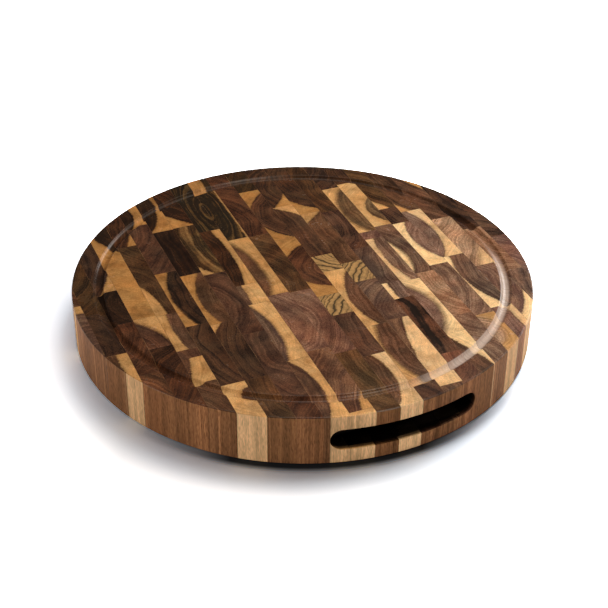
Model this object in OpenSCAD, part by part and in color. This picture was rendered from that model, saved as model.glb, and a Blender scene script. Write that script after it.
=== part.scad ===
// Round end-grain chopping block. Short blocks of acacia stand upright side by side.
// They are glued end to end into strips, the strips are glued into a panel, and the
// panel is cut to a disc with a juice groove on top and a hand slot at each end.
// The origin is on the underside at the middle; the strips run along Y.

/* [Board] */
// Diameter of the rim
board_d = 400; // [300:5:450]
// Thickness from the underside to the top face
board_t = 45; // [36:1:60]
// Width of the narrow bevel at the top edge of the rim
top_bevel = 1; // [0.5:0.25:3]
// Width of the narrow bevel at the bottom edge of the rim
foot_bevel = 1; // [0.5:0.25:3]

/* [Juice groove] */
// Distance from the rim to the middle of the groove
groove_inset = 23; // [16:1:35]
// Width of the groove at the top face
groove_w = 9; // [6:0.5:12]
// Depth of the groove at its middle
groove_depth = 3; // [2:0.25:5]
// Radius that the two lips of the groove are eased by
lip_r = 1; // [0.5:0.25:2]

/* [Hand slots] */
// Length of each slot along the rim
slot_l = 128; // [90:2:140]
// Height of each slot, whose ends are half round
slot_h = 19.5; // [15:0.5:22]
// Depth of each slot, from the rim to its back wall at mid length
slot_depth = 25; // [20:1:45]
// Turn of the two slots about the board's middle, off the line of the strips
slot_turn = 2.2; // [-8:0.1:8]

/* [Wood stock] */
// Thickness of the wide strips, before all strips are planed alike to fill the panel
wide_stock = 19.75; // [18:0.25:22]
// Thickness of the narrow strips, before all strips are planed alike to fill the panel
narrow_stock = 17.5; // [14:0.25:18]
// How far the panel stands past the disc on each side before the disc is cut out
panel_margin = 8.25; // [5:0.25:12]
// Distance from the board's middle to the panel's middle, to the right
panel_shift = -4; // [-10:0.5:10]
// Thickness of the glue between strips and between blocks
glue_t = 0.2; // [0.1:0.05:0.5]

/* [Hidden] */
$fn = 180;
board_r = board_d / 2;
groove_r = board_r - groove_inset;
// Radius of the round cutter that leaves a groove of this width and depth
groove_cutter_r = (groove_w * groove_w / 4 + groove_depth * groove_depth) / (2 * groove_depth);
slot_z = board_t / 2;
groove_z = board_t - groove_depth + groove_cutter_r;
// Each lip has a narrow flat, from the top face to where a round of lip_r would touch
lip_rise = groove_z - board_t + lip_r;
lip_x = sqrt(pow(groove_cutter_r + lip_r, 2) - pow(lip_rise, 2));
touch_x = lip_x * groove_cutter_r / (groove_cutter_r + lip_r);
touch_depth = lip_r * (1 - lip_rise / (groove_cutter_r + lip_r));
// How far a cutting box runs past the wood
over = 1;
reach = board_r + over;
// A rim block shorter or thinner than this is one with its neighbour
least_rim_block = 2;
panel_w = board_d + 2 * panel_margin;

// Woods that the blocks show on their end grain
sapwood = "#C8965A";
tan_heart = "#8A6040";
brown_heart = "#694834";
red_heart = "#643C2D";
dark_heart = "#463024";
black_heart = "#2C2020";
spalted = "#B89868";
glue_tone = "#A5835A";

// One row for each strip, from the left. It holds the stock, then the joints between
// the strip's blocks from the rear to the front, in hundredths of the board's radius,
// then the wood of each block. The first and the last strip run past the rim, and so do
// the end blocks of every strip.
strips = [
    [wide_stock, [12.5], [dark_heart, brown_heart]],
    [narrow_stock, [4, -27], [brown_heart, black_heart, brown_heart]],
    [narrow_stock, [18.5, -7, -44], [dark_heart, black_heart, dark_heart, brown_heart]],
    [wide_stock, [-6, -28.5], [sapwood, sapwood, red_heart]],
    [narrow_stock, [51, -7, -34, -40, -57],
        [red_heart, dark_heart, brown_heart, brown_heart, sapwood, dark_heart]],
    [wide_stock, [67, 24, -19, -62], [sapwood, red_heart, dark_heart, dark_heart, sapwood]],
    [wide_stock, [58, 18.5, -21.5, -62], [sapwood, black_heart, brown_heart, dark_heart, dark_heart]],
    [wide_stock, [58.5, 15.5, -33, -79], [dark_heart, brown_heart, brown_heart, brown_heart, red_heart]],
    [wide_stock, [50.5, 2, -13.5, -56.5], [black_heart, red_heart, sapwood, sapwood, sapwood]],
    [wide_stock, [85.5, 39, -10, -53.5, -96],
        [sapwood, black_heart, sapwood, brown_heart, red_heart, sapwood]],
    [wide_stock, [38.5, -11, -59], [red_heart, dark_heart, brown_heart, dark_heart]],
    [wide_stock, [78.5, 31, -18.5, -34, -65],
        [dark_heart, brown_heart, red_heart, spalted, dark_heart, sapwood]],
    [wide_stock, [59, 12, -1.5, -46.5, -90],
        [brown_heart, red_heart, spalted, brown_heart, dark_heart, dark_heart]],
    [wide_stock, [48.5, 2, -14, -45.5, -94],
        [dark_heart, red_heart, spalted, dark_heart, sapwood, red_heart]],
    [narrow_stock, [46.5, 11, -19.5, -32.5, -75],
        [red_heart, brown_heart, brown_heart, tan_heart, red_heart, red_heart]],
    [narrow_stock, [66.5, 23, 16.5, -21, -63.5],
        [red_heart, sapwood, brown_heart, sapwood, sapwood, brown_heart]],
    [narrow_stock, [68.5, 25.5, -17.5, -53], [dark_heart, sapwood, dark_heart, tan_heart, brown_heart]],
    [narrow_stock, [39, 24.5, -14, -56], [dark_heart, black_heart, sapwood, brown_heart, tan_heart]],
    [wide_stock, [33, -10, -53.5], [dark_heart, sapwood, dark_heart, sapwood]],
    [wide_stock, [21.5, -22], [dark_heart, tan_heart, red_heart]],
    [narrow_stock, [8, -30], [dark_heart, brown_heart, dark_heart]],
    [wide_stock, [-2.5], [black_heart, brown_heart]]
];
last = len(strips) - 1;

// Thickness of strips 0 to i together, before and after they are planed
function stock_up_to(i) = i < 0 ? 0 : strips[i][0] + stock_up_to(i - 1);
planed = panel_w / stock_up_to(last);
// Middle of the glue line to the right of strip i
function glue_x(i) = panel_shift - panel_w / 2 + planed * stock_up_to(i);

// Sides of strip i, which lie past the rim where the strip is the outermost one there
function first_there(i) = i == 0 || glue_x(i - 1) < least_rim_block - board_r;
function last_there(i) = i == last || glue_x(i) > board_r - least_rim_block;
function strip_left(i) = first_there(i) ? -reach : glue_x(i - 1);
function strip_right(i) = last_there(i) ? reach : glue_x(i);
function strip_there(i) =
    (i == 0 || glue_x(i - 1) < board_r - least_rim_block)
    && (i == last || glue_x(i) > least_rim_block - board_r);
function strip_mid(i) = (max(strip_left(i), -board_r) + min(strip_right(i), board_r)) / 2;

// Blocks of strip i from the rear to the front, each as [rear side, front side, wood]
function strip_blocks(i) =
    let (wood = strips[i][2])
    let (sides = concat([reach], strips[i][1] * board_r / 100, [-reach]))
    let (limit = sqrt(board_r * board_r - strip_mid(i) * strip_mid(i)) - least_rim_block)
    [for (k = [0:len(wood) - 1])
        if (sides[k] > -limit && sides[k + 1] < limit)
            [sides[k] > limit ? reach : sides[k],
             sides[k + 1] < -limit ? -reach : sides[k + 1],
             wood[k]]];

// A long strip is three pieces in the list, a short one near the side of the board is one
function strip_parts(i) =
    let (blocks = len(strip_blocks(i)))
    !strip_there(i) ? []
    : i < 2 || i > last - 2 ? ["blocks"]
    : blocks == 1 ? ["rear_block"]
    : blocks == 2 ? ["rear_block", "front_block"]
    : ["rear_block", "inner_blocks", "front_block"];
function part_name(i, part) = str("strip_", i < 9 ? "0" : "", i + 1, "_", part);
function chosen(blocks, part) =
    let (end = len(blocks) - 1)
    part == "blocks" ? blocks
    : part == "rear_block" ? [blocks[0]]
    : part == "front_block" ? [blocks[end]]
    : [for (k = [1:end - 1]) blocks[k]];

// Half section of the turned disc: narrow bevels at the rim, the groove cut from the top
module disc_section() {
    difference() {
        polygon([
            [0, 0], [board_r - foot_bevel, 0], [board_r, foot_bevel],
            [board_r, board_t - top_bevel], [board_r - top_bevel, board_t], [0, board_t]
        ]);
        translate([groove_r, groove_z])
            circle(groove_cutter_r);
        translate([groove_r, board_t])
            polygon([
                [-lip_x, over], [-lip_x, 0], [-touch_x, -touch_depth],
                [touch_x, -touch_depth], [lip_x, 0], [lip_x, over]
            ]);
    }
}

// Slot in the front rim: a long hole with half-round ends and a flat back wall
module hand_slot() {
    slot_run = slot_l - slot_h;
    translate([0, slot_depth - board_r, slot_z])
        rotate([90, 0, 0])
            linear_extrude(slot_depth + over) {
                square([slot_run, slot_h], center = true);
                translate([-slot_run / 2, 0])
                    circle(d = slot_h);
                translate([slot_run / 2, 0])
                    circle(d = slot_h);
            }
}

module board() {
    difference() {
        rotate_extrude()
            disc_section();
        for (side = [0, 180])
            rotate(slot_turn + side)
                hand_slot();
    }
}

// What the board holds between two corners seen from above, over its whole thickness
module board_between(left, front, right, rear) {
    intersection() {
        board();
        translate([left, front, -over])
            cube([right - left, rear - front, board_t + 2 * over]);
    }
}

// Blocks of strip i that belong to one part, each half a glue line short of its joints
module strip_part(i, part) {
    half_glue = glue_t / 2;
    for (block = chosen(strip_blocks(i), part))
        color(block[2])
            board_between(
                strip_left(i) + half_glue, block[1] + half_glue,
                strip_right(i) - half_glue, block[0] - half_glue
            );
}

// Glue between the strips, one sheet for each joint from rim to rim
module strip_glue_lines() {
    color(glue_tone)
        for (i = [0:last - 1])
            if (strip_there(i) && strip_there(i + 1))
                board_between(glue_x(i) - glue_t / 2, -reach, glue_x(i) + glue_t / 2, reach);
}

// Glue between the blocks of each strip
module block_glue_lines() {
    half_glue = glue_t / 2;
    color(glue_tone)
        for (i = [0:last])
            if (strip_there(i))
                for (block = strip_blocks(i))
                    if (block[1] > -reach)
                        board_between(
                            strip_left(i) + half_glue, block[1] - half_glue,
                            strip_right(i) - half_glue, block[1] + half_glue
                        );
}

for (i = [0:last])
    for (part = strip_parts(i))
        strip_part(i, part);
strip_glue_lines();
block_glue_lines();
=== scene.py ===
import bpy
import bmesh
import math
import random
from mathutils import Matrix, Vector


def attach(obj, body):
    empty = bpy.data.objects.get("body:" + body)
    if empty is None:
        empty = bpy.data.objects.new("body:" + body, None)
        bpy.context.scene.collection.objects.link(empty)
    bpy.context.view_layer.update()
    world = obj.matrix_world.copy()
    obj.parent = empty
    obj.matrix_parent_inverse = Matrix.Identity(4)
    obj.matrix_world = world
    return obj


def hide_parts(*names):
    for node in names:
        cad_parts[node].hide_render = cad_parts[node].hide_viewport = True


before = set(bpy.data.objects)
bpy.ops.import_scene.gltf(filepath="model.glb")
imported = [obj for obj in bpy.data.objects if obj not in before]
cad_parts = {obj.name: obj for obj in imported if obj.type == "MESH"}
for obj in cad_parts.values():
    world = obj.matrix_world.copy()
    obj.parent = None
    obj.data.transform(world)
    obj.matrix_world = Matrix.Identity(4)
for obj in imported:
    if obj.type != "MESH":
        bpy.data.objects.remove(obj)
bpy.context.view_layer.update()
print("frame loaded:", len(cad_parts), "wood and glue nodes")

mm = 0.001


def linearColour(hexText):
    parts = [int(hexText[i:i + 2], 16) / 255 for i in (1, 3, 5)]
    parts = [c / 12.92 if c <= 0.04045 else ((c + 0.055) / 1.055) ** 2.4 for c in parts]
    return (*parts, 1.0)


def addNode(tree, kind, inputs=(), out=0, **settings):
    made = tree.nodes.new("ShaderNode" + kind)
    for name, value in settings.items():
        setattr(made, name, value)
    for place, value in (inputs.items() if isinstance(inputs, dict) else enumerate(inputs)):
        if isinstance(value, bpy.types.NodeSocket):
            tree.links.new(value, made.inputs[place])
        elif value is not None:
            made.inputs[place].default_value = value
    return made.outputs[out]


def newMaterial(name):
    made = bpy.data.materials.new(name)
    made.use_nodes = True
    made.node_tree.nodes.clear()
    return made, made.node_tree


def newObject(name, mesh):
    made = bpy.data.objects.new(name, mesh)
    bpy.context.scene.collection.objects.link(made)
    return made


# The camera stands where the photograph was taken from, found from the rim's outline.
cameraPlace = {
    "position": (-0.38705, -0.92421, 0.68812),
    "aim": (0.00951, 0.01915, 0.0),
    "roll": 0.4856,       # degrees
    "lens": 80.66,        # on a 36 mm sensor
}


def makeCamera(place):
    data = bpy.data.cameras.new("productCamera")
    data.lens = place["lens"]
    data.sensor_width = 36
    camera = newObject("productCamera", data)
    position = Vector(place["position"])
    look = (Vector(place["aim"]) - position).normalized()
    right = look.cross(Vector((0, 0, 1))).normalized()
    up = right.cross(look)
    roll = math.radians(place["roll"])
    right, up = right * math.cos(roll) + up * math.sin(roll), up * math.cos(roll) - right * math.sin(roll)
    turn = Matrix((right, up, -look)).transposed().to_4x4()
    camera.matrix_world = Matrix.Translation(position) @ turn
    bpy.context.scene.camera = camera


makeCamera(cameraPlace)
print("camera placed")


# Turned disc: the same sizes as the CAD board, with the edges eased round by sandpaper.
disc = {
    "rimRadius": 200,
    "thickness": 45,
    "edgeRound": 1.0,
    "grooveRadius": 177,
    "grooveCutter": 4.875,    # radius of the round cutter
    "grooveCutterHeight": 46.875,
    "lipRound": 1.0,
    "steps": 720,
}
slot = {"length": 128, "height": 19.5, "backWall": 175, "turn": 2.2, "mouthRound": 0.6}


def arcPoints(centre, radius, start, end, count):
    angles = [math.radians(start + (end - start) * k / count) for k in range(count + 1)]
    return [(centre[0] + radius * math.cos(a), centre[1] + radius * math.sin(a)) for a in angles]


def discSection(d):
    rim, top, ease, lip = d["rimRadius"], d["thickness"], d["edgeRound"], d["lipRound"]
    cutter = d["grooveCutter"]
    rise = d["grooveCutterHeight"] - top + lip
    reach = math.sqrt((cutter + lip) ** 2 - rise ** 2)
    tilt = math.degrees(math.atan2(rise, reach))
    middle = (d["grooveRadius"], d["grooveCutterHeight"])
    outerLip, innerLip = d["grooveRadius"] + reach, d["grooveRadius"] - reach
    support = 0.5             # a narrow flat ring beside each round keeps the big faces flat
    return [
        (rim - ease - support, 0),
        *arcPoints((rim - ease, ease), ease, -90, 0, 4),
        (rim, ease + support), (rim, top - ease - support),
        *arcPoints((rim - ease, top - ease), ease, 0, 90, 4),
        (rim - ease - support, top), (outerLip + support, top),
        *arcPoints((outerLip, top - lip), lip, 90, 180 - tilt, 5),
        *arcPoints(middle, cutter, -tilt, tilt - 180, 18)[1:-1],
        *arcPoints((innerLip, top - lip), lip, tilt, 90, 5),
        (innerLip - support, top),
    ]


def turnedDisc(d):
    shape = bmesh.new()
    rings = []
    for radius, height in discSection(d):
        ring = []
        for k in range(d["steps"]):
            a = 2 * math.pi * k / d["steps"]
            ring.append(shape.verts.new((radius * math.cos(a) * mm, radius * math.sin(a) * mm, height * mm)))
        rings.append(ring)
    for lower, upper in zip(rings, rings[1:]):
        for k in range(d["steps"]):
            n = (k + 1) % d["steps"]
            shape.faces.new((lower[k], lower[n], upper[n], upper[k]))
    shape.faces.new(list(reversed(rings[0])))
    shape.faces.new(rings[-1])
    mesh = bpy.data.meshes.new("turnedDisc")
    shape.to_mesh(mesh)
    shape.free()
    return mesh


def slotCutter(s, turn):
    half, end = s["height"] / 2, s["length"] / 2 - s["height"] / 2
    middle = disc["thickness"] / 2
    outline = arcPoints((end, middle), half, -90, 90, 24) + arcPoints((-end, middle), half, 90, 270, 24)
    shape = bmesh.new()
    inner = [shape.verts.new((x * mm, -s["backWall"] * mm, z * mm)) for x, z in outline]
    outer = [shape.verts.new((x * mm, -(disc["rimRadius"] + 5) * mm, z * mm)) for x, z in outline]
    for k in range(len(outline)):
        n = (k + 1) % len(outline)
        shape.faces.new((inner[k], inner[n], outer[n], outer[k]))
    shape.faces.new(inner)
    shape.faces.new(outer)
    bmesh.ops.recalc_face_normals(shape, faces=shape.faces)
    shape.transform(Matrix.Rotation(math.radians(turn), 4, "Z"))
    mesh = bpy.data.meshes.new("slotCutter")
    shape.to_mesh(mesh)
    shape.free()
    return newObject("slotCutter", mesh)


def cutBoard():
    board = newObject("boardBlank", turnedDisc(disc))
    cutters = [slotCutter(slot, slot["turn"] + side) for side in (0, 180)]
    for cutter in cutters:
        cut = board.modifiers.new("slot", "BOOLEAN")
        cut.operation = "DIFFERENCE"
        cut.solver = "EXACT"
        cut.object = cutter
    made = bpy.data.meshes.new_from_object(board.evaluated_get(bpy.context.evaluated_depsgraph_get()))
    for used in [board, *cutters]:
        bpy.data.objects.remove(used)
    shape = bmesh.new()
    shape.from_mesh(made)
    bmesh.ops.remove_doubles(shape, verts=shape.verts, dist=1e-6)
    return shape


def easeSlotMouth(shape, s):
    # the mouth's edges lie on the rim, between a face of the rim and a face of the slot
    rim = disc["rimRadius"] * mm
    mouth = []
    for edge in shape.edges:
        if len(edge.link_faces) != 2 or any(abs(v.co.xy.length - rim) > 0.1 * mm for v in edge.verts):
            continue
        onRim = [abs(f.normal.xy.dot(f.calc_center_median().xy.normalized())) > 0.99
                 and f.calc_center_median().xy.length > rim - 0.3 * mm for f in edge.link_faces]
        if onRim[0] != onRim[1] and min(v.co.z for v in edge.verts) > 5 * mm \
                and max(v.co.z for v in edge.verts) < 40 * mm:
            mouth.append(edge)
    bmesh.ops.bevel(shape, geom=mouth, offset=s["mouthRound"] * mm, offset_type="OFFSET", segments=2,
                    profile=0.5, affect="EDGES", clamp_overlap=True)
    return len(mouth)


boardShape = cutBoard()
print("disc turned and slots cut, mouth edges eased:", easeSlotMouth(boardShape, slot))


# Looks of the wood on its end grain, from the darkest heartwood to the lightest. Each has a
# main tone and the tone of its darker growth bands, or of its golden ones.
heartLooks = {
    "ebony": ("#301c0e", "#1f1109"),
    "black": ("#3e2716", "#2a1b11"),
    "dark": ("#4a2f1d", "#332015"),
    "umber": ("#563724", "#3d2619"),
    "brown": ("#61402a", "#472e1d"),
    "earth": ("#6c4d37", "#4f3729"),
    "russet": ("#79533e", "#5d3d2f"),
    "fawn": ("#84614a", "#664837"),
    "tan": ("#9a6f51", "#81583f"),
    "pink": ("#b18665", "#926c50"),
    "flamed": ("#603b27", "#1e130c"),
    "golden": ("#261b10", "#654827"),
    "streaked": ("#372413", "#714f2d"),
}
bandShapes = {"flamed": (0.0, 1.1, 0.8), "golden": (0.12, 0.6, 0.4), "streaked": (0.12, 1.0, 0.6)}
# A second word shifts the tone, as factors on red, green and blue
heartHues = {"red": (1.07, 0.92, 0.84), "olive": (0.98, 1.02, 0.84), "grey": (0.98, 1.01, 1.12)}
# Sapwood: its tone and that of its stains
sapLooks = {
    "deep": ("#b07b43", "#82592f"),
    "gold": ("#c18d54", "#92693d"),
    "amber": ("#d09d62", "#a47749"),
    "pale": ("#ddb07c", "#b58e60"),
    "cream": ("#eec58d", "#cba26f"),
}

# The panel, strip by strip from the left. Each row has the place of the glue line on the
# strip's right, the joints between its blocks from the rear to the front, and its blocks.
# A block is its heartwood, then the circle that the heartwood ends at, as its middle and
# radius in mm, then its sapwood. Heartwood fills the circle, or lies outside it where the
# radius is negative. No circle means heartwood all over, and "sap" means sapwood all over.
panel = {
    "left": -200,
    "glue": 0.2,
    "strips": [
        (-192.5, [25], [("umber",), ("earth grey", (-196, -186, 200), "gold")]),
        (-175, [8, -54], [("dark olive",), ("dark grey",), ("brown", (-373, -72, 189), "gold")]),
        (-157.5, [37, -14, -88], [
            ("dark grey", (-253, 98, 101), "gold"), ("ebony grey",), ("umber red",), ("brown red",)]),
        (-137.75, [-12, -57], [
            ("black", (-70, 148, 86), "deep"), ("umber grey", (-215, -72, 81), "gold"),
            ("dark red",)]),
        (-120.25, [102, -14, -68, -80, -114], [
            ("dark red", (-281, 173, 168), "deep"), ("umber olive", (-252, -12, -123.5), "gold"),
            ("brown grey", (23, -35, 154), "gold"), ("earth red",), ("umber", (-290, -52, 161.5), "gold"),
            ("brown",)]),
        (-100.5, [134, 48, -38, -124], [
            ("ebony", (-153, 156, 44.5), "deep"), ("umber grey",), ("black grey", (-12, 4, 106), "deep"), ("dark",),
            ("dark", (-100, -141, 9), "amber")]),
        (-80.75, [116, 37, -43, -124], [
            ("ebony", (-170, 168, 86), "deep"), ("ebony grey",), ("brown", (-6, -9, 91), "deep"),
            ("dark", (-33, -95, 78.5), "gold"), ("umber olive",)]),
        (-61, [117, 31, -66, -158], [
            ("black red", (27, 210, 127), "deep"), ("streaked", (-11, 85, 80), "gold"), ("umber grey",),
            ("umber grey",), ("umber red",)]),
        (-41.25, [101, 4, -27, -113], [
            ("golden",), ("black red", (-270, 57, 224), "gold"), ("earth", (-240, -12, 184), "amber"),
            ("earth grey", (-161, -73, 110), "amber"), ("earth red", (-134, -156, 86), "amber")]),
        (-21.5, [171, 78, -20, -107, -192], [
            ("black olive", (120, 190, 148), "deep"), ("golden", (-1022.4, 125, 1000), "gold"),
            ("brown", (-144, 21, 115), "gold"), ("russet",), ("earth red", (97, -230, -133.5), "gold"),
            ("sap", None, "amber")]),
        (-1.75, [77, -22, -118], [("umber red",), ("umber olive",), ("russet",), ("brown olive",)]),
        (18, [157, 62, -37, -68, -130], [
            ("black olive",), ("umber", (49, 106, 53.5), "deep"), ("umber red", (29, 11, 37.5), "deep"),
            ("spalted",), ("umber grey",), ("brown", (-59, -158, 70), "pale")]),
        (37.75, [118, 24, -3, -93, -180], [
            ("dark", (-130, 249, 200), "deep"), ("umber", (-32, 54, 81), "amber"), ("spalted",),
            ("brown grey", (105.5, -57, 83.5), "amber"), ("brown grey", (113, -130, 94.5), "amber"),
            ("umber grey",)]),
        (57.5, [97, 4, -28, -91, -188], [
            ("dark", (110, 166, 82.5), "deep"), ("brown", (148, -21, 149), "gold"), ("spalted",),
            ("earth grey",), ("earth", (310, -185, -274), "pale"), ("earth red",)]),
        (75, [93, 22, -39, -65, -150], [
            ("umber olive",), ("umber grey",), ("earth grey",), ("fawn grey", (200, -52, 138), "cream"),
            ("flamed",), ("russet red",)]),
        (92.5, [133, 46, 33, -42, -127], [
            ("dark grey",), ("earth olive", (149, 83, 74), "amber"), ("russet grey",),
            ("fawn", (221, 0, 142), "pale"), ("fawn grey", (29, -86, 60), "cream"),
            ("brown grey", (-128, -232, 226), "cream")]),
        (110, [137, 51, -35, -106], [
            ("dark",), ("earth olive", (132, 80, 32.5), "amber"), ("earth grey", (30, -5, -68), "cream"),
            ("tan",), ("fawn",)]),
        (127.5, [78, 49, -28, -112], [
            ("brown olive", (11, 28, -120.5), "amber"), ("umber grey",), ("fawn grey", (189, 19, 73), "cream"),
            ("fawn",), ("pink", (97, -135, 25), "gold")]),
        (147.25, [66, -20, -107], [
            ("brown", (250, 136, 133), "gold"), ("fawn grey", (51, 26, 91), "pale"),
            ("earth grey", (230, -53, 102), "cream"), ("russet grey", (291, -124, -150), "pale")]),
        (167, [43, -44], [
            ("brown grey", (326, 185, -181), "gold"), ("pink", (290, -101, -149), "pale"),
            ("russet", (93, -70, 77), "cream")]),
        (184.5, [16, -60], [("dark grey",), ("tan",), ("earth grey",)]),
        (200, [-5], [("brown grey",), ("russet grey",)]),
    ],
}
# Growth rings drawn round these middles, with the width of their bands, in the blocks where they show. A fourth number
# stretches them: below 1 they are long in the strips' direction.
ringMiddles = {
    (8, 0): (-42, 134, 3.6, 0.26), (9, 1): (-42, 134, 3.6, 0.26), (14, 4): (40, -99, 8, 0.3), (11, 2): (42, 0, 5),
    (12, 1): (0, 50, 6, 0.3), (13, 1): (90, 50, 6, 0.3), (10, 2): (-70, -60, 9), (9, 3): (-70, -60, 9),
    (6, 3): (-60, -90, 6, 0.6), (7, 3): (-50, -90, 6, 0.6), (7, 2): (-100, -20, 9, 0.7),
    (12, 0): (60, 150, 6), (6, 1): (20, 80, 7, 0.5), (7, 1): (-20, 85, 8, 0.5), (17, 2): (160, 10, 5),
    (18, 1): (90, 26, 5), (11, 3): (42, -74, 5), (12, 2): (56, 31, 5), (13, 2): (78, -34, 5),
}
# Half the width in mm over which the heartwood fades out, where it isn't 0.9
softEdges = {(15, 4): 4.5, (9, 2): 3.5, (15, 1): 3.0, (3, 1): 2.5, (5, 2): 1.2, (16, 2): 2.5, (17, 4): 4.0,
             (7, 1): 1.0, (8, 3): 1.8, (12, 4): 3.0, (19, 1): 6.0}
chance = random.Random(11)


def cutAway(shape, place, outward):
    cut = bmesh.ops.bisect_plane(shape, geom=shape.verts[:] + shape.edges[:] + shape.faces[:],
                                 dist=1e-7, plane_co=place, plane_no=outward, clear_outer=True)
    edges = [g for g in cut["geom_cut"] if isinstance(g, bmesh.types.BMEdge) and g.is_boundary]
    if edges:
        bmesh.ops.holes_fill(shape, edges=edges, sides=0)


def blockFacts(strip, place, look, left, right, rear, front):
    # what the wood material reads for one block, the same at each of its points
    rim = disc["rimRadius"]
    middle = Vector(((left + right) / 2, (max(min(rear, rim), -rim) + max(min(front, rim), -rim)) / 2))
    kind = look[0]
    circle = look[1] if len(look) > 1 and look[1] else None
    sap = sapLooks[look[2] if len(look) > 2 else "gold"]
    tone, _, hue = kind.partition(" ")
    heart = [[a * b for a, b in zip(linearColour(c), (*heartHues.get(hue, (1, 1, 1)), 1))]
             for c in heartLooks.get(tone, heartLooks["brown"])]
    far = middle + Vector((chance.choice((-1, 1)) * chance.uniform(35, 90), chance.uniform(-40, 40)))
    rings = ringMiddles.get((strip, place)) or (
        (circle[0], circle[1], 5.5) if circle else (far.x, far.y, chance.uniform(5, 8)))
    if circle is None:
        circle = (middle.x, middle.y, -900 if kind == "sap" else 900)
    lines = chance.choice((0.0, 0.3, 0.8))
    return {
        "heartEdge": circle,
        "ringMiddle": rings[:3],
        "figure": (softEdges.get((strip, place), 0.9), rings[3] if len(rings) > 3 else 1.0, lines),
        "blockSeed": [chance.uniform(-90, 90) for _ in range(3)],
        # how thin the second tone is, how cloudy the wood is and how far its rings wander
        "bandShape": bandShapes.get(tone, (0.0, 1.3, 1.0)),
        "heartTone": heart[0],
        "bandTone": heart[1],
        "sapTone": linearColour(sap[0]),
        "stainTone": linearColour(sap[1]),
    }


def makePiece(name, blocks, materials):
    whole = bmesh.new()
    facts = []
    for shape, fact, slotNumber in blocks:
        bmesh.ops.recalc_face_normals(shape, faces=shape.faces)
        for face in shape.faces:
            face.smooth = True
            face.material_index = slotNumber
        part = bpy.data.meshes.new("part")
        shape.to_mesh(part)
        before = len(whole.verts)
        whole.from_mesh(part)
        bpy.data.meshes.remove(part)
        facts.append((len(whole.verts) - before, fact))
    mesh = bpy.data.meshes.new(name)
    whole.to_mesh(mesh)
    whole.free()
    mesh.set_sharp_from_angle(angle=math.radians(30))
    for key in facts[0][1]:
        isColour = key.endswith("Tone")
        layer = mesh.attributes.new(key, "FLOAT_COLOR" if isColour else "FLOAT_VECTOR", "POINT")
        values = [v for count, fact in facts for _ in range(count) for v in fact[key]]
        layer.data.foreach_set("color" if isColour else "vector", values)
    for material in materials:
        mesh.materials.append(material)
    return newObject(name, mesh)


# Acacia on its end grain and its long grain, sawn, glued, sanded to about 320 grit and oiled.
# The oil deepens the end grain. Soft bands, thin rings, a few black lines and fine pores
# give the heartwood its life, and a soft stained edge leads over to the sapwood.
acacia = {
    "grainStretch": 0.03,      # the figure runs nearly straight down the block
    "ragged": 1.6,             # mm that the heartwood's edge wanders
    "spikes": 1.6,             # mm that single rays carry its colour over the edge
    "longWave": (0.021, 20.0), # growth rings wander: waves per mm and mm of wander
    "shortWave": (0.16, 2.0),
    "fineRing": 1.9,           # mm, drawn coarser than the real 0.5 mm so that it shows
    "blackLine": 22.0,         # mm between thin black lines
    "paleLine": 9.0,           # mm between thin pale lines
    "pore": 1.15,              # mm between pores, drawn coarser than the real 0.4 mm
    "longHeart": "#b0784e",
    "longSap": "#edbd8a",
    "roughness": (0.20, 0.28),
    "longRough": 0.6,
    "gloss": (0.3, 0.04),      # the end grain takes many coats of oil, the long grain few
    "grooveGloss": 0.14,       # the cutter leaves the groove coarser than sandpaper leaves the top
    # painted glare: a pale stretch painted on the inner half of the groove on the right, standing in for the light that
    # glances off it there: its tone, the compass direction to its middle, the cosines of its half length, where it
    # begins and is full, and its share
    "glareTone": "#d2bcaa",
    "glareToward": (0.695, -0.719, 0.0),
    "glareReach": (0.72, 0.95, 0.0, 0.7),
    "sheen": (1.0, 0.87, 0.74, 1.0),
    "scorch": (0.03, 5.0),     # painted shade on the slots' walls: its darkest factor, and mm in to its darkest
}


def noiseShade(tree, vector, scale, detail, low, high, **more):
    grey = addNode(tree, "TexNoise", {"Vector": vector, "Scale": scale, "Detail": detail, "Roughness": 0.62, **more})
    return addNode(tree, "MapRange", [grey, 0.3, 0.7, low, high])


def ringShade(tree, place, seed, spacing, width, line):
    # thin lines where a slow noise along the radius passes its middle
    at = addNode(tree, "Math", [place, 1 / spacing, seed], operation="MULTIPLY_ADD")
    wave = addNode(tree, "TexNoise", {"W": at, "Scale": 1.0, "Detail": 1.0}, noise_dimensions="1D")
    near = addNode(tree, "Math", [addNode(tree, "Math", [wave, 0.5], operation="SUBTRACT")], operation="ABSOLUTE")
    return addNode(tree, "MapRange", [near, 0.0, width, line, 1.0], interpolation_type="SMOOTHSTEP")


def product(tree, *factors):
    whole = factors[0]
    for factor in factors[1:]:
        whole = addNode(tree, "Math", [whole, factor], operation="MULTIPLY")
    return whole


def slotPaintedShade(tree, place, m):
    # painted shade: the slots' walls are the only wood at this height inside the rim, and they darken inward as the
    # shade in the recess would
    least, reach = m
    flat = addNode(tree, "VectorMath", [place, (1, 1, 0)], operation="MULTIPLY")
    inward = addNode(tree, "Math", [disc["rimRadius"], addNode(tree, "VectorMath", [flat], out=1, operation="LENGTH")],
                     operation="SUBTRACT")
    height = addNode(tree, "SeparateXYZ", [place], out=2)
    atSlot = addNode(tree, "Math", [height, disc["thickness"] / 2, slot["height"] / 2 + 0.5], operation="COMPARE")
    inwardShade = product(tree, addNode(tree, "MapRange", [inward, 0.3, 2.0, 1.0, 0.16]),
                   addNode(tree, "MapRange", [inward, 2.0, reach, 1.0, least]))
    return addNode(tree, "Mix", {0: atSlot, 2: 1.0, 3: inwardShade})


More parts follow.
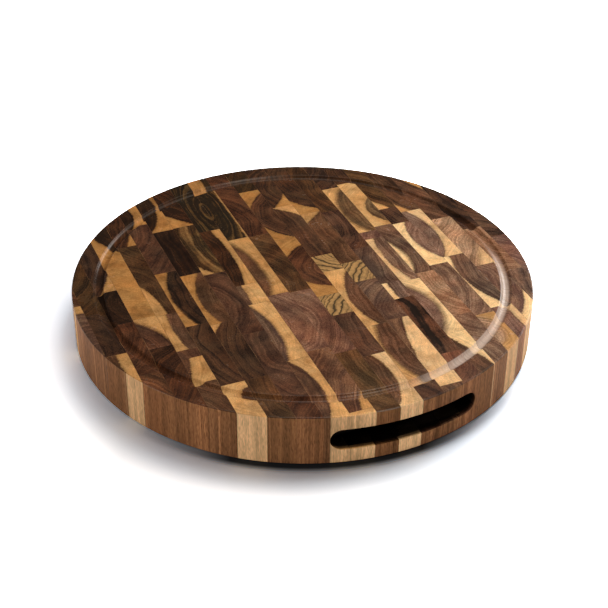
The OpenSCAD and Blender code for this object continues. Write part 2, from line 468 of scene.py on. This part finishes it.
def acaciaMaterial(m):
    material, tree = newMaterial("acaciaSandedAndOiled")
    place = addNode(tree, "VectorMath", [addNode(tree, "TexCoord", out=3), (1000, 1000, 1000)], operation="MULTIPLY")
    facts = {key: addNode(tree, "Attribute", out=1, attribute_name=key)
             for key in ("heartEdge", "ringMiddle", "figure", "bandShape", "blockSeed")}
    tones = {key: addNode(tree, "Attribute", attribute_name=key)
             for key in ("heartTone", "bandTone", "sapTone", "stainTone")}
    edgeSoft, ringStretch, lineShare = addNode(tree, "SeparateXYZ", [facts["figure"]]).node.outputs
    bandShift, cloudy, wander = addNode(tree, "SeparateXYZ", [facts["bandShape"]]).node.outputs
    seedX, seedY, seedZ = addNode(tree, "SeparateXYZ", [facts["blockSeed"]]).node.outputs
    flat = addNode(tree, "VectorMath", [place, (1, 1, 0)], operation="MULTIPLY")
    straight = addNode(tree, "VectorMath", [place, (1, 1, m["grainStretch"])], operation="MULTIPLY")
    grain = addNode(tree, "VectorMath", [straight, facts["blockSeed"]], operation="ADD")

    # distance into the heartwood, in mm
    middle = addNode(tree, "VectorMath", [facts["heartEdge"], (1, 1, 0)], operation="MULTIPLY")
    radius = addNode(tree, "SeparateXYZ", [facts["heartEdge"]], out=2)
    span = addNode(tree, "Math", [radius], operation="ABSOLUTE")
    offset = addNode(tree, "VectorMath", [flat, middle], operation="SUBTRACT")
    away = addNode(tree, "VectorMath", [offset], out=1, operation="LENGTH")
    plainDepth = addNode(tree, "Math", [
        addNode(tree, "Math", [span, away], operation="SUBTRACT"),
        addNode(tree, "Math", [radius], operation="SIGN")], operation="MULTIPLY")
    broad = addNode(tree, "TexNoise", {"Vector": grain, "Scale": 0.075, "Detail": 3.0})
    around = addNode(tree, "VectorMath", {
        0: addNode(tree, "VectorMath", [offset], operation="NORMALIZE"), 3: span}, operation="SCALE")
    ray = addNode(tree, "VectorMath", [
        addNode(tree, "VectorMath", {0: around, 3: 0.8}, operation="SCALE"),
        addNode(tree, "CombineXYZ", {2: addNode(tree, "Math", [plainDepth, 0.12], operation="MULTIPLY")})],
        operation="ADD")
    spikes = addNode(tree, "TexNoise", {"Vector": ray, "Scale": 1.3, "Detail": 2.0})
    depth = addNode(tree, "Math", [
        addNode(tree, "Math", [addNode(tree, "Math", [broad, 0.5], operation="SUBTRACT"), 2 * m["ragged"], plainDepth],
                operation="MULTIPLY_ADD"),
        addNode(tree, "Math", [addNode(tree, "Math", [spikes, 0.5], operation="SUBTRACT"), 2 * m["spikes"]],
                operation="MULTIPLY")], operation="ADD")
    inHeart = addNode(tree, "MapRange", [
        addNode(tree, "Math", [depth, edgeSoft], operation="DIVIDE"), -1.0, 1.0], interpolation_type="SMOOTHSTEP")

    # growth rings run round a middle of their own and wander a little
    ringMiddle = addNode(tree, "VectorMath", [facts["ringMiddle"], (1, 1, 0)], operation="MULTIPLY")
    ringSpace = addNode(tree, "SeparateXYZ", [facts["ringMiddle"]], out=2)
    fromMiddle = addNode(tree, "VectorMath", [
        addNode(tree, "VectorMath", [flat, ringMiddle], operation="SUBTRACT"),
        addNode(tree, "CombineXYZ", [1.0, ringStretch, 0.0])], operation="MULTIPLY")
    ringPlace = addNode(tree, "VectorMath", [fromMiddle], out=1, operation="LENGTH")
    for waves, reach in (m["longWave"], m["shortWave"]):
        wave = addNode(tree, "TexNoise", {"Vector": straight, "Scale": waves, "Detail": 1.5})
        ringPlace = addNode(tree, "Math", [
            addNode(tree, "Math", [wave, 0.5], operation="SUBTRACT"),
            addNode(tree, "Math", [wander, reach], operation="MULTIPLY"), ringPlace], operation="MULTIPLY_ADD")
    bandAt = addNode(tree, "Math", [
        addNode(tree, "Math", [ringPlace, ringSpace], operation="DIVIDE"), seedX], operation="ADD")
    bands = addNode(tree, "TexNoise", {"W": bandAt, "Scale": 1.0, "Detail": 2.0}, noise_dimensions="1D")
    fine = addNode(tree, "TexNoise", {"W": ringPlace, "Scale": 1 / m["fineRing"], "Detail": 1.5}, noise_dimensions="1D")
    cloud = addNode(tree, "TexNoise", {"Vector": grain, "Scale": 0.045, "Detail": 3.0, "Roughness": 0.6})

    # heartwood: two tones in soft bands, drifting between reddish and olive
    bandLevel = addNode(tree, "Math", [bandShift, bands], operation="ADD")
    bandShare = addNode(tree, "MapRange", [
        addNode(tree, "Math", [addNode(tree, "Math", [cloud, 0.5], operation="SUBTRACT"), cloudy, bandLevel],
                operation="MULTIPLY_ADD"), 0.28, 0.68], interpolation_type="SMOOTHSTEP")
    heart = addNode(tree, "Mix", {0: bandShare, 6: tones["bandTone"], 7: tones["heartTone"]}, out=2, data_type="RGBA")
    drift = addNode(tree, "Mix", {
        0: noiseShade(tree, grain, 0.034, 2.0, 0.0, 1.0), 6: (1.13, 0.97, 0.87, 1), 7: (0.91, 1.02, 1.04, 1)},
        out=2, data_type="RGBA")
    heart = addNode(tree, "VectorMath", [heart, drift], operation="MULTIPLY")
    blackLine = ringShade(tree, ringPlace, seedY, m["blackLine"], 0.035, 0.5)
    blackLine = addNode(tree, "Mix", {0: lineShare, 2: 1.0, 3: blackLine})
    paleLine = ringShade(tree, ringPlace, seedZ, m["paleLine"], 0.025, 1.3)
    rimDark = addNode(tree, "MapRange", [depth, 0.3, 4.0, 0.88, 1.0], interpolation_type="SMOOTHSTEP")
    heartShade = product(tree, rimDark, blackLine, paleLine, noiseShade(tree, grain, 0.022, 2.0, 0.80, 1.22),
                         addNode(tree, "MapRange", [fine, 0.3, 0.7, 0.78, 1.22]))

    # sapwood: cloudy, greyer near the heartwood
    stain = noiseShade(tree, grain, 0.07, 4.0, -0.6, 1.0)
    nearHeart = addNode(tree, "MapRange", [depth, -4.0, 0.0, 0.0, 0.5], interpolation_type="SMOOTHSTEP")
    sap = addNode(tree, "Mix", {
        0: addNode(tree, "Math", [stain, nearHeart], operation="MAXIMUM"), 6: tones["sapTone"], 7: tones["stainTone"]},
        out=2, data_type="RGBA")
    sapShade = product(tree, noiseShade(tree, grain, 0.05, 2.0, 0.82, 1.15),
                       addNode(tree, "MapRange", [fine, 0.3, 0.7, 0.88, 1.10]))
    blush = addNode(tree, "Mix", {
        0: noiseShade(tree, grain, 0.06, 2.0, 0.0, 1.0), 6: (1.05, 0.94, 0.84, 1), 7: (0.99, 1.03, 1.06, 1)},
        out=2, data_type="RGBA")
    sap = addNode(tree, "VectorMath", [sap, blush], operation="MULTIPLY")

    # long grain, where the face stands upright: flatter, lighter, in upright streaks
    upright = addNode(tree, "Math", [addNode(tree, "SeparateXYZ", [addNode(tree, "TexCoord", out=1)], out=2)],
                      operation="ABSOLUTE")
    longGrain = addNode(tree, "MapRange", [upright, 0.6, 0.2], interpolation_type="SMOOTHSTEP")
    longHeart = addNode(tree, "Mix", {
        0: addNode(tree, "Math", [longGrain, 0.5], operation="MULTIPLY"), 6: heart,
        7: linearColour(m["longHeart"])}, out=2, data_type="RGBA")
    longSap = addNode(tree, "Mix", {
        0: addNode(tree, "Math", [longGrain, 0.8], operation="MULTIPLY"), 6: sap,
        7: linearColour(m["longSap"])}, out=2, data_type="RGBA")
    heartLit = addNode(tree, "VectorMath", {0: longHeart, 3: heartShade}, operation="SCALE")
    sapLit = addNode(tree, "VectorMath", {0: longSap, 3: sapShade}, operation="SCALE")
    wood = addNode(tree, "Mix", {0: inHeart, 6: sapLit, 7: heartLit}, out=2, data_type="RGBA")
    streaks = addNode(tree, "Mix", {
        0: longGrain, 2: 1.0, 3: product(tree, noiseShade(tree, grain, 0.09, 1.0, 0.84, 1.20),
                                         noiseShade(tree, straight, 0.5, 3.0, 0.84, 1.16))})

    # pores: dots on the end grain, short dashes down the long grain
    poreSpace = addNode(tree, "VectorMath", [place, (1, 1, 0.16)], operation="MULTIPLY")
    dots = addNode(tree, "TexVoronoi", {"Vector": poreSpace, "Scale": 1 / m["pore"], "Randomness": 1.0})
    pick = addNode(tree, "TexNoise", {"Vector": grain, "Scale": 0.35, "Detail": 2.0})
    poreShade = addNode(tree, "MapRange", [
        addNode(tree, "Math", [dots, addNode(tree, "Math", [pick, 0.45], operation="MULTIPLY")], operation="SUBTRACT"),
        0.0, 0.16, addNode(tree, "Mix", {0: inHeart, 2: 0.86, 3: 0.66}), 1.0], interpolation_type="SMOOTHSTEP")
    mottle = addNode(tree, "Mix", {
        0: addNode(tree, "Mix", {0: inHeart, 2: 0.45, 3: addNode(tree, "MapRange", [longGrain, 0.0, 1.0, 1.0, 0.45])}),
        2: 1.0,
        3: product(tree, noiseShade(tree, poreSpace, 0.75, 1.5, 0.76, 1.24),
                   noiseShade(tree, poreSpace, 1.5, 1.0, 0.70, 1.30))})

    # the slots' painted shade joins the pores, mottle and streaks
    shade = product(tree, poreShade, mottle, streaks, slotPaintedShade(tree, place, m["scorch"]))
    colour = addNode(tree, "VectorMath", {0: wood, 3: shade}, operation="SCALE")

    # the groove is the only wood at this height between the top and the slots
    height = addNode(tree, "SeparateXYZ", [place], out=2)
    inGroove = addNode(tree, "Math", [
        addNode(tree, "MapRange", [height, 44.95, 44.6]),
        addNode(tree, "Math", [addNode(tree, "VectorMath", [flat], out=1, operation="LENGTH"),
                               disc["grooveRadius"], 6.0], operation="COMPARE")], operation="MULTIPLY")
    outward = addNode(tree, "VectorMath", [flat], operation="NORMALIZE")
    # painted glare on the groove's right: a pale streaky band where the light glances off its inner half
    paintedGlare = addNode(tree, "MapRange", [
        addNode(tree, "VectorMath", [outward, m["glareToward"]], out=1, operation="DOT_PRODUCT"), *m["glareReach"]],
        interpolation_type="SMOOTHSTEP")
    acrossGroove = addNode(tree, "VectorMath", {0: outward, 3: disc["grooveRadius"]}, operation="SCALE")
    innerHalf = addNode(tree, "MapRange", [addNode(tree, "VectorMath", [flat], out=1, operation="LENGTH"),
                                           178.0, 180.5, 1.0, 0.0], interpolation_type="SMOOTHSTEP")
    paintedGlare = product(tree, paintedGlare, inGroove, innerHalf, noiseShade(tree, acrossGroove, 0.7, 3.0, 0.55, 1.0))
    colour = addNode(tree, "Mix", {0: paintedGlare, 6: colour, 7: linearColour(m["glareTone"])}, out=2, data_type="RGBA")
    bump = addNode(tree, "Bump", {"Strength": 0.12, "Distance": 0.0001, "Height": shade})
    surface = addNode(tree, "BsdfPrincipled", {
        "Base Color": colour,
        "Roughness": addNode(tree, "Mix", {
            0: longGrain, 2: addNode(tree, "MapRange", [cloud, 0.3, 0.7, *m["roughness"]]), 3: m["longRough"]}),
        "IOR": 1.5,
        "Specular IOR Level": addNode(tree, "Mix", {
            0: inGroove, 2: addNode(tree, "MapRange", [longGrain, 0.0, 1.0, *m["gloss"]]), 3: m["grooveGloss"]}),
        "Specular Tint": m["sheen"],
        "Normal": bump,
    })
    tree.links.new(surface, tree.nodes.new("ShaderNodeOutputMaterial").inputs[0])
    return material


# Spalted acacia: fungus drew thin dark zone lines through pale wood before it was dried.
spalt = {
    "pale": "#b0844e",
    "grey": "#8f6c40",
    "shade": "#6b4c2a",       # brown beside the lines
    "line": "#2f2515",
    "spacing": 3.0,           # mm between the dark lines
    "roughness": 0.5,
    "gloss": 0.1,
}


def spaltedMaterial(m):
    material, tree = newMaterial("acaciaSpalted")
    place = addNode(tree, "VectorMath", [addNode(tree, "TexCoord", out=3), (1000, 1000, 60)], operation="MULTIPLY")
    seeded = addNode(tree, "VectorMath", [place, addNode(tree, "Attribute", out=1, attribute_name="blockSeed")],
                     operation="ADD")
    middle = addNode(tree, "VectorMath", [addNode(tree, "Attribute", out=1, attribute_name="ringMiddle"), (1, 1, 0)],
                     operation="MULTIPLY")
    flat = addNode(tree, "VectorMath", [place, (1, 1, 0)], operation="MULTIPLY")
    warp = addNode(tree, "TexNoise", {"Vector": seeded, "Scale": 0.07, "Detail": 3.0, "Roughness": 0.55})
    across = addNode(tree, "VectorMath", [flat, middle], out=1, operation="DISTANCE")
    along = addNode(tree, "Math", [warp, 11.0, across], operation="MULTIPLY_ADD")
    lines = addNode(tree, "TexNoise", {"W": along, "Scale": 1 / m["spacing"], "Detail": 2.5, "Roughness": 0.6},
                    noise_dimensions="1D")
    dark = addNode(tree, "MapRange", [lines, 0.53, 0.61], interpolation_type="SMOOTHSTEP")
    beside = addNode(tree, "MapRange", [lines, 0.38, 0.58, 0.0, 0.6])
    clouds = addNode(tree, "MapRange", [addNode(tree, "TexNoise", {"Vector": seeded, "Scale": 0.3, "Detail": 3.0}),
                                        0.4, 0.7])
    base = addNode(tree, "Mix", {0: clouds, 6: linearColour(m["pale"]), 7: linearColour(m["grey"])}, out=2,
                   data_type="RGBA")
    base = addNode(tree, "Mix", {0: beside, 6: base, 7: linearColour(m["shade"])}, out=2, data_type="RGBA")
    colour = addNode(tree, "Mix", {0: addNode(tree, "Math", [dark, 0.85], operation="MULTIPLY"), 6: base,
                                   7: linearColour(m["line"])}, out=2, data_type="RGBA")
    surface = addNode(tree, "BsdfPrincipled", {
        "Base Color": colour, "Roughness": m["roughness"], "IOR": 1.5, "Specular IOR Level": m["gloss"],
        "Normal": addNode(tree, "Bump", {"Strength": 0.2, "Distance": 0.0001, "Height": clouds})})
    tree.links.new(surface, tree.nodes.new("ShaderNodeOutputMaterial").inputs[0])
    return material


# Wood glue, set clear amber and sanded flush: a hair-thin line, here darker, there lighter.
glueLine = {"dark": "#4b2f1c", "light": "#9c7448", "roughness": 0.45, "gloss": 0.1}


def glueMaterial(m):
    material, tree = newMaterial("woodGlueSandedFlush")
    place = addNode(tree, "VectorMath", [addNode(tree, "TexCoord", out=3), (1000, 1000, 1000)], operation="MULTIPLY")
    patches = addNode(tree, "MapRange", [addNode(tree, "TexNoise", {"Vector": place, "Scale": 0.04, "Detail": 3.0}),
                                         0.52, 0.70])
    colour = addNode(tree, "Mix", {0: patches, 6: linearColour(m["dark"]), 7: linearColour(m["light"])}, out=2,
                     data_type="RGBA")
    # painted shade in the slots, the same as on the wood
    colour = addNode(tree, "VectorMath", {0: colour, 3: slotPaintedShade(tree, place, acacia["scorch"])}, operation="SCALE")
    surface = addNode(tree, "BsdfPrincipled", {"Base Color": colour, "Roughness": m["roughness"], "IOR": 1.5,
                                                "Specular IOR Level": m["gloss"]})
    tree.links.new(surface, tree.nodes.new("ShaderNodeOutputMaterial").inputs[0])
    return material


woodMaterials = [acaciaMaterial(acacia), spaltedMaterial(spalt)]
glue = glueMaterial(glueLine)
print("wood and glue materials made")


def makeBlocks():
    reach = disc["rimRadius"] + 1
    gap = panel["glue"] / 2
    left = -reach
    last = len(panel["strips"]) - 1
    for number, (right, joints, looks) in enumerate(panel["strips"]):
        end = reach if number == last else right - gap
        strip = boardShape.copy()
        cutAway(strip, (left * mm, 0, 0), (-1, 0, 0))
        cutAway(strip, (end * mm, 0, 0), (1, 0, 0))
        sides = [reach, *joints, -reach]
        blocks = []
        for place, look in enumerate(looks):
            rear, front = sides[place], sides[place + 1]
            shape = strip.copy()
            cutAway(shape, (0, (rear - gap) * mm, 0), (0, 1, 0))
            cutAway(shape, (0, (front + gap) * mm, 0), (0, -1, 0))
            fact = blockFacts(number, place, look, max(left, -reach + 1), min(end, reach - 1), rear, front)
            blocks.append((shape, fact, 1 if look[0] == "spalted" else 0))
        strip.free()
        if number < 2 or number > last - 2:
            groups = {"blocks": blocks}
        else:
            groups = {"rear_block": blocks[:1], "inner_blocks": blocks[1:-1], "front_block": blocks[-1:]}
        for part, members in groups.items():
            node = f"strip_{number + 1:02d}_{part}"
            words = node.split("_")
            piece = makePiece(words[0] + words[1] + "".join(w.title() for w in words[2:]), members, woodMaterials)
            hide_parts(node)
            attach(piece, "root")
        for shape, _, _ in blocks:
            shape.free()
        left = right + gap
    print("blocks cut and placed")


makeBlocks()
boardShape.free()
for name in ("strip_glue_lines", "block_glue_lines"):
    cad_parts[name].data.materials.clear()
    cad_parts[name].data.materials.append(glue)


# Stage: a flat white floor under a white sweep of world light, and six soft boxes. The biggest share comes from above
# and behind, so the shadow falls to the front and to the left.
stage = {
    "floorSize": 12,
    "floorTone": "#f4f3f3",
    # what the camera sees of the floor is this much brighter, near the board and away from it, at these distances in
    # metres, so that the bare floor is white and the shadow stays; the smaller factor near the board is painted shade
    # that deepens the shadow there
    "floorShown": (2.4, 3.6),
    "shownReach": (0.226, 0.262),
    "farShown": (0.9, 2.2, 1.0, 9.0), # far off, where the lamps' light fades, it grows again
    "nearTone": "#d2e0ee",     # close to the board, against the warm light that the wood throws
    "nearReach": (0.2, 0.24),
    # painted contact shadow, a dark line on the floor under the rim: its factor, then where it begins and ends, and how
    # far to each side of its middle it is full and gone
    "paintedContactShadow": (0.03, 0.2033, 0.213),
    "paintedShadowSides": (0.075, 0.17),
    "paintedShadowMiddle": 0.02,
    "toRight": (0.923, -0.386, 0.0),
    "rightShown": (0.0, 0.2, 1.0, 1.4), # and how the floor's shown light grows in that direction, painted light that thins the shadow on the right
    "leftShown": (-0.14, -0.2, 1.0, 1.4), # and against it, painted light that thins the shadow far to the left
    "sweepTop": (0.04, 0.12), # sine of the height at which the low ring of light begins and ends to fade
    "sweepLight": 0.9,        # its strength
    "roomLight": 0.05,
    # each soft box: compass turn from the strips' right, height, both in degrees, watts, width in metres
    "rightBox": (7, 45, 2.6, 0.55),
    "topBox": (37, 67, 3.0, 0.55),
    "rearBox": (80, 70, 1.7, 0.55),
    "leftBox": (185, 9, 4.5, 0.3),
    "lowBox": (27, 23, 7.0, 0.55),
    "fillBox": (290, 50, 7.4, 0.55), # kept off the floor, where it would wash out the shadow
    "boxDistance": 1.2,
}


def makeSoftBox(name, s):
    turn, height, watts, width = s[name]
    data = bpy.data.lights.new(name, "AREA")
    data.shape = "DISK"
    data.size = width
    data.energy = watts
    lamp = newObject(name, data)
    turn, height = math.radians(turn), math.radians(height)
    source = Vector((math.cos(turn) * math.cos(height), math.sin(turn) * math.cos(height), math.sin(height)))
    lamp.location = source * s["boxDistance"]
    lamp.rotation_mode = "QUATERNION"
    lamp.rotation_quaternion = source.to_track_quat("Z", "Y")
    return lamp


def makeStage(s):
    half = s["floorSize"] / 2
    mesh = bpy.data.meshes.new("studioFloor")
    mesh.from_pydata([(-half, -half, -0.0003), (half, -half, -0.0003), (half, half, -0.0003),
                      (-half, half, -0.0003)], [], [(0, 1, 2, 3)])
    floor = newObject("studioFloor", mesh)
    material, tree = newMaterial("paintedStudioFloor")
    rays = addNode(tree, "LightPath").node.outputs
    seen = rays["Is Camera Ray"]
    for other in ("Is Glossy Ray", "Is Transmission Ray"):
        seen = addNode(tree, "Math", [seen, rays[other]], operation="MAXIMUM")
    spot = addNode(tree, "TexCoord", out=3)
    distance = addNode(tree, "VectorMath", [spot], out=1, operation="LENGTH")
    shownAs = addNode(tree, "MapRange", [distance, *s["shownReach"], *s["floorShown"]])
    shade, begin, end = s["paintedContactShadow"]
    across = addNode(tree, "VectorMath", [spot, s["toRight"]], out=1, operation="DOT_PRODUCT")
    # painted contact shadow, deepest at the front and fading towards each side
    deepest = addNode(tree, "MapRange", [addNode(tree, "Math", [
        addNode(tree, "Math", [across, s["paintedShadowMiddle"]], operation="SUBTRACT")], operation="ABSOLUTE"),
        *s["paintedShadowSides"], shade, 0.95])
    paintedContactShadow = addNode(tree, "MapRange", [distance, begin, end, deepest, 1.0], interpolation_type="SMOOTHSTEP")
    # painted floor light and shade: the contact shadow and the side factors shape the shadow's outline
    shownAs = product(tree, shownAs, paintedContactShadow, addNode(tree, "MapRange", [across, *s["rightShown"]]),
                      addNode(tree, "MapRange", [across, *s["leftShown"]]),
                      addNode(tree, "MapRange", [distance, *s["farShown"]]))
    brighter = addNode(tree, "Mix", {0: seen, 2: 1.0, 3: shownAs})
    tone = addNode(tree, "Mix", {
        0: addNode(tree, "MapRange", [distance, *s["nearReach"]]), 6: linearColour(s["nearTone"]),
        7: linearColour(s["floorTone"])}, out=2, data_type="RGBA")
    tone = addNode(tree, "VectorMath", {0: tone, 3: brighter}, operation="SCALE")
    diffuse = addNode(tree, "BsdfDiffuse", {"Color": tone})
    below = addNode(tree, "NewGeometry", out=6)
    shown = addNode(tree, "MixShader", [below, diffuse, addNode(tree, "BsdfTransparent")])
    tree.links.new(shown, tree.nodes.new("ShaderNodeOutputMaterial").inputs[0])
    mesh.materials.append(material)

    world = bpy.data.worlds.new("whiteSweep")
    bpy.context.scene.world = world
    world.use_nodes = True
    tree = world.node_tree
    tree.nodes.clear()
    rays = addNode(tree, "LightPath").node.outputs
    climb = addNode(tree, "SeparateXYZ", [addNode(tree, "TexCoord")], out=2)
    sweep = addNode(tree, "MapRange", [climb, *s["sweepTop"], s["sweepLight"], s["roomLight"]])
    seen = addNode(tree, "Math", [rays["Is Camera Ray"], rays["Is Transmission Ray"]], operation="MAXIMUM")
    strength = addNode(tree, "Mix", {0: seen, 2: sweep, 3: 1.0})
    background = addNode(tree, "Background", {"Color": (1, 1, 1, 1), "Strength": strength})
    tree.links.new(background, tree.nodes.new("ShaderNodeOutputWorld").inputs[0])

    for name in ("rightBox", "topBox", "rearBox", "leftBox", "lowBox"):
        makeSoftBox(name, s)
    fill = makeSoftBox("fillBox", s)
    spared = bpy.data.collections.new("notLitByFill")
    spared.objects.link(floor)
    spared.collection_objects[0].light_linking.link_state = "EXCLUDE"
    fill.light_linking.receiver_collection = spared


makeStage(stage)
bpy.context.scene.view_settings.view_transform = "Standard"
print("stage and lights set")
